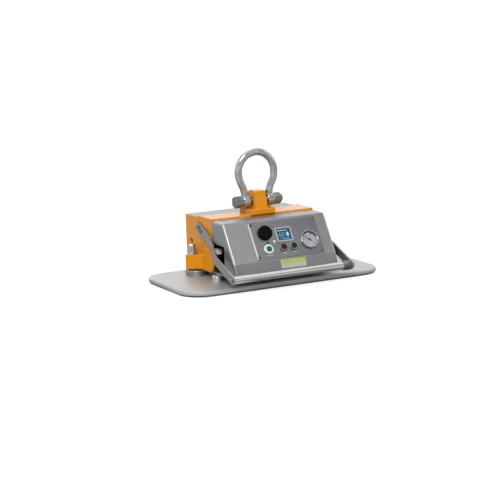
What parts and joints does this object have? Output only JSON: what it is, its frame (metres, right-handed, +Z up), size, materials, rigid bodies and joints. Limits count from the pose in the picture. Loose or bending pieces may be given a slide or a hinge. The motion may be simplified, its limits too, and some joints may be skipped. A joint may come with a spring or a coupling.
{
  "type": "vacuum lifter",
  "caption": "Battery vacuum lifter: sealed suction plate, sheet-metal housing with gauge, display and push buttons, folding handle, load frame with lug and bow shackle.",
  "frame": {"origin": "mouth of the suction port, in the middle of the suction plate's underside (the seal stands 6 mm below it)", "axes": "+Z up towards the shackle, -Y to the front where the control panel and handle are, +X along the long side of the plate"},
  "size_m": [0.72, 0.42, 0.4295],
  "materials": {
    "plate_alloy": "satin",
    "seal_rubber": "matte",
    "turned_steel": "satin",
    "orange_paint": "satin",
    "bright_nut": "polished",
    "sheet_steel": "brushed",
    "panel_steel": "brushed",
    "fastener_steel": "satin",
    "siren_black": "matte",
    "socket_black": "matte",
    "display_frame": "satin",
    "display_face": "gloss",
    "lamp_lens": "gloss",
    "power_ring": "gloss",
    "power_button": "gloss",
    "release_ring": "gloss",
    "release_button": "gloss",
    "lift_ring": "gloss",
    "lift_button": "gloss",
    "gauge_metal": "polished",
    "dial_white": "matte",
    "pointer_black": "matte",
    "gauge_pane": "clear",
    "label_yellow": "satin",
    "arm_steel": "brushed",
    "grip_steel": "polished",
    "grip_end": "matte",
    "galvanised": "galvanised",
    "battery_case": "matte",
    "strap_band": "satin",
    "pump_metal": "cast",
    "motor_paint": "satin",
    "cradle_paint": "satin",
    "tank_paint": "gloss",
    "saddle_plastic": "matte",
    "valve_metal": "satin",
    "hose_rubber": "satin",
    "board_green": "satin"
  },
  "bodies": {
    "frame": {"suction_plate": "plate_alloy", "suction_seal": "seal_rubber", "port_boss": "turned_steel", "port_seal": "seal_rubber", "rear_studs": "turned_steel", "front_feet": "turned_steel", "clamp_bracket_left": "orange_paint", "clamp_bracket_right": "orange_paint", "side_plate_left": "orange_paint", "side_plate_right": "orange_paint", "crossbeam": "orange_paint", "suspension_lug": "orange_paint", "lug_bolts": "fastener_steel", "front_hood": "sheet_steel", "rear_cover": "sheet_steel", "base_tray": "sheet_steel", "housing_screws": "fastener_steel", "charging_socket": "socket_black", "control_plate": "panel_steel", "control_screws": "fastener_steel", "siren_housing": "siren_black", "siren_grille": "siren_black", "display_bezel": "display_frame", "display_screen": "display_face", "status_lamps": "lamp_lens", "power_collar": "power_ring", "release_collar": "release_ring", "lift_collar": "lift_ring", "gauge_case": "gauge_metal", "gauge_dial": "dial_white", "gauge_rim": "gauge_metal", "gauge_glass": "gauge_pane", "label_plate": "label_yellow", "battery": "battery_case", "battery_strap": "strap_band", "vacuum_pump": "pump_metal", "pump_motor": "motor_paint", "pump_cradle": "cradle_paint", "pump_mounts": "seal_rubber", "reservoir": "tank_paint", "reservoir_saddles": "saddle_plastic", "valve_block": "valve_metal", "hoses": "hose_rubber", "control_board": "board_green"},
    "handle": {"handle_arm_left": "arm_steel", "handle_arm_right": "arm_steel", "handle_grip": "grip_steel", "handle_collar": "grip_end", "handle_bolts": "fastener_steel", "grip_bolts": "fastener_steel"},
    "shackle": {"shackle_bow": "galvanised", "shackle_pin": "galvanised", "shackle_nut": "galvanised", "cotter_pin": "galvanised"},
    "power_button": {"power_cap": "power_button"},
    "release_button": {"release_cap": "release_button"},
    "lift_button": {"lift_cap": "lift_button"},
    "pointer": {"gauge_needle": "pointer_black"},
    "clamp_left": {"clamp_nut_left": "bright_nut"},
    "clamp_right": {"clamp_nut_right": "bright_nut"}
  },
  "joints": [
    {"name": "handle_swing", "type": "hinge", "parent": "frame", "child": "handle", "pos_m": [0, 0.07, 0.175], "axis": [-1, 0, 0], "range_deg": [0, 115]},
    {"name": "shackle_swing", "type": "hinge", "parent": "frame", "child": "shackle", "pos_m": [0, 0.023, 0.249], "axis": [1, 0, 0], "range_deg": [-98, 98]},
    {"name": "pointer_turn", "type": "hinge", "parent": "frame", "child": "pointer", "pos_m": [0.103, -0.14259, 0.12948], "axis": [0, 0.8505, -0.5259], "range_deg": [-80, 185], "stiffness_Nm_per_rad": 0.002},
    {"name": "clamp_left_turn", "type": "hinge", "parent": "frame", "child": "clamp_left", "pos_m": [-0.21, 0.097, 0.094], "axis": [0, 0, 1], "continuous": true},
    {"name": "clamp_right_turn", "type": "hinge", "parent": "frame", "child": "clamp_right", "pos_m": [0.21, 0.097, 0.094], "axis": [0, 0, 1], "continuous": true},
    {"name": "power_press", "type": "slide", "parent": "frame", "child": "power_button", "axis": [0, 0.8505, -0.5259], "range_m": [0, 0.0035], "stiffness_N_per_m": 500, "springref_m": -0.001},
    {"name": "release_press", "type": "slide", "parent": "frame", "child": "release_button", "axis": [0, 0.8505, -0.5259], "range_m": [0, 0.0035], "stiffness_N_per_m": 500, "springref_m": -0.001},
    {"name": "lift_press", "type": "slide", "parent": "frame", "child": "lift_button", "axis": [0, 0.8505, -0.5259], "range_m": [0, 0.0035], "stiffness_N_per_m": 500, "springref_m": -0.001}
  ]
}
